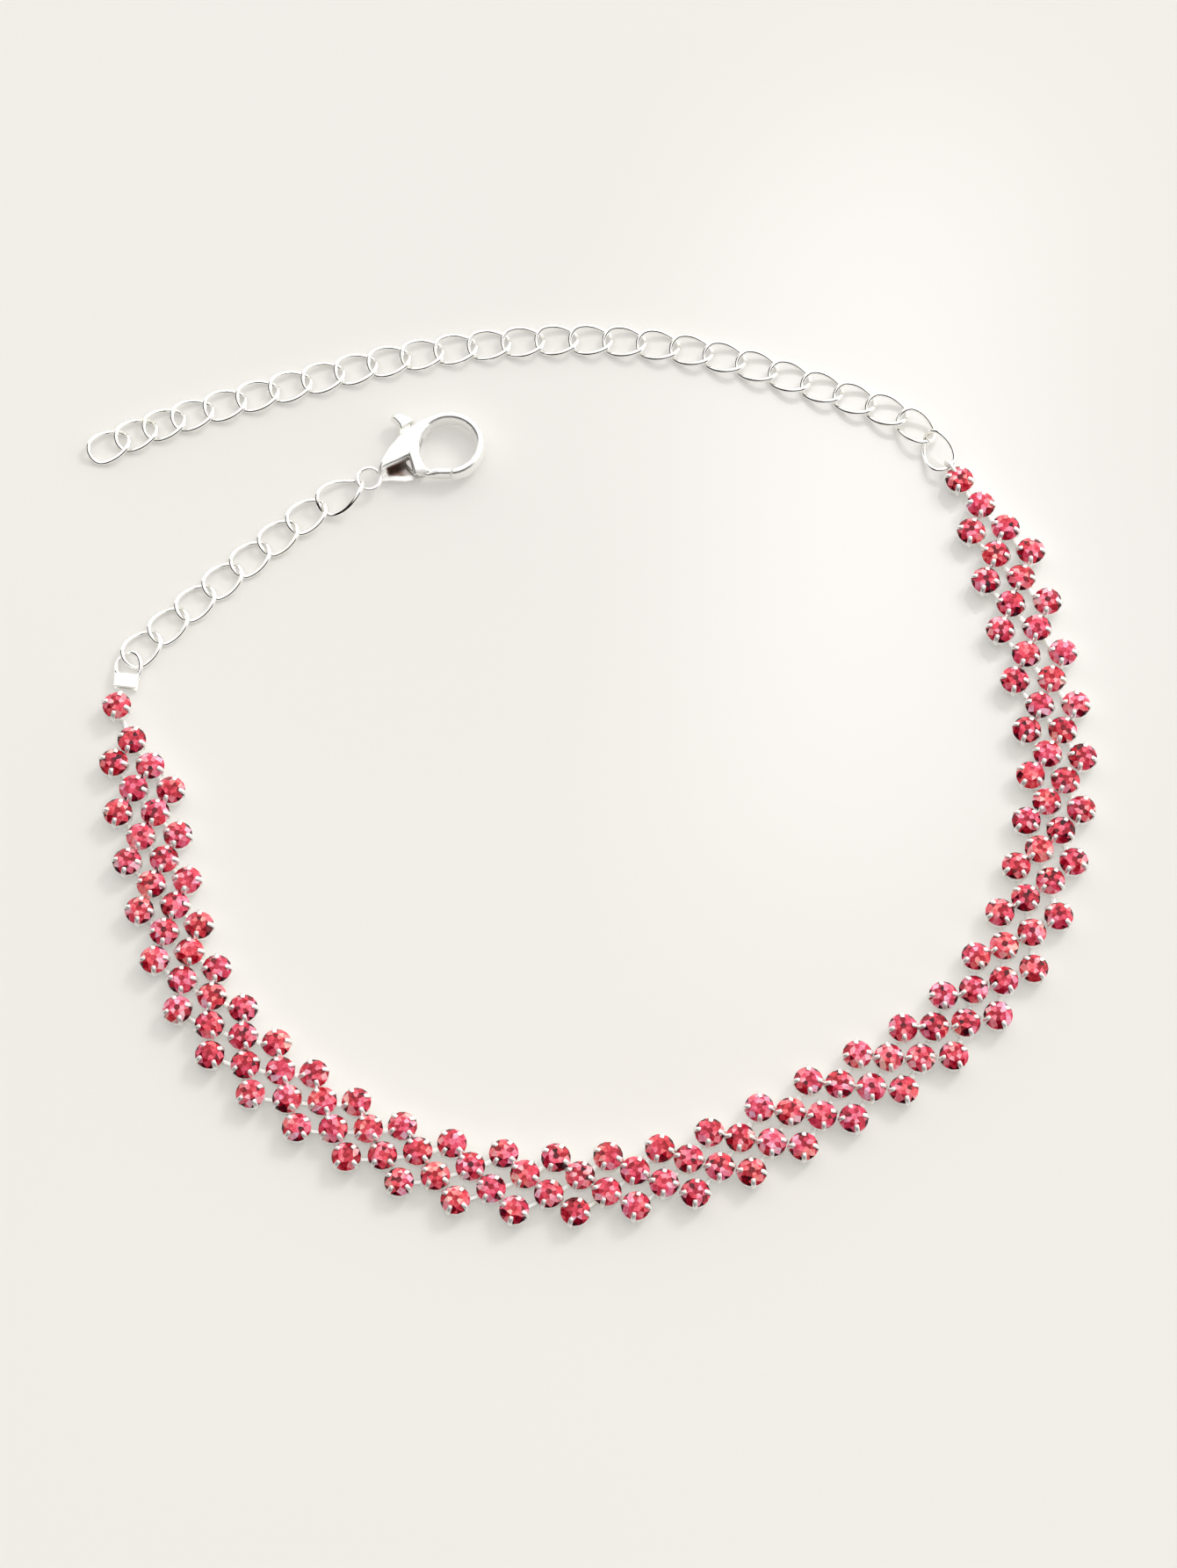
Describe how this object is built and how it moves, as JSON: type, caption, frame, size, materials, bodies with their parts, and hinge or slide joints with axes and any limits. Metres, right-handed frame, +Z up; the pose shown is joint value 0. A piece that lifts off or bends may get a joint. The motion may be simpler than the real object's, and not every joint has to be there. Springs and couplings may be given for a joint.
{
  "type": "link bracelet",
  "caption": "Rhinestone link bracelet lying open: slanting rows of rose stones in silver cups, a curb chain extender, and a lobster clasp on a short chain.",
  "frame": {"origin": "on the surface that the bracelet lies on, under the middle of its outline", "axes": "+Z up out of the surface; +X to the right and +Y away, seen with the clasp and the extender on the far side and the clasp to the left of the middle"},
  "size_m": [0.0932, 0.0888, 0.0024],
  "materials": {
    "stone_band": "faceted rose glass stones in bright silver plated cups with four prongs each",
    "chain_metal": "bright silver plated wire",
    "clasp_metal": "bright silver plated cast clasp"
  },
  "bodies": {
    "bracelet": {"band_section_01": "stone_band", "band_section_02": "stone_band", "band_section_03": "stone_band", "band_section_04": "stone_band", "band_section_05": "stone_band", "band_section_06": "stone_band", "band_section_07": "stone_band", "band_section_08": "stone_band", "band_section_09": "stone_band", "band_section_10": "stone_band", "band_section_11": "stone_band", "band_section_12": "stone_band", "band_section_13": "stone_band", "band_section_14": "stone_band", "band_section_15": "stone_band", "band_section_16": "stone_band", "extender_link_01": "chain_metal", "extender_link_02": "chain_metal", "extender_link_03": "chain_metal", "extender_link_04": "chain_metal", "extender_link_05": "chain_metal", "extender_link_06": "chain_metal", "extender_link_07": "chain_metal", "extender_link_08": "chain_metal", "extender_link_09": "chain_metal", "extender_link_10": "chain_metal", "extender_link_11": "chain_metal", "extender_link_12": "chain_metal", "extender_link_13": "chain_metal", "extender_link_14": "chain_metal", "extender_link_15": "chain_metal", "extender_link_16": "chain_metal", "extender_link_17": "chain_metal", "extender_link_18": "chain_metal", "extender_link_19": "chain_metal", "extender_link_20": "chain_metal", "extender_link_21": "chain_metal", "extender_link_22": "chain_metal", "extender_link_23": "chain_metal", "extender_link_24": "chain_metal", "extender_link_25": "chain_metal", "extender_link_26": "chain_metal", "extender_link_27": "chain_metal", "chain_link_01": "chain_metal", "chain_link_02": "chain_metal", "chain_link_03": "chain_metal", "chain_link_04": "chain_metal", "chain_link_05": "chain_metal", "chain_link_06": "chain_metal", "chain_link_07": "chain_metal", "oval_link": "chain_metal", "end_connector": "chain_metal", "clasp_body": "clasp_metal"},
    "lever": {"clasp_lever": "clasp_metal"}
  },
  "joints": [
    {"name": "clasp_lever_hinge", "type": "hinge", "parent": "bracelet", "child": "lever", "pos_m": [-0.01588, 0.02967, 0.0012], "axis": [0, 0, 1], "range_deg": [0, 25], "stiffness_Nm_per_rad": 0.004, "springref_deg": -5.73}
  ]
}
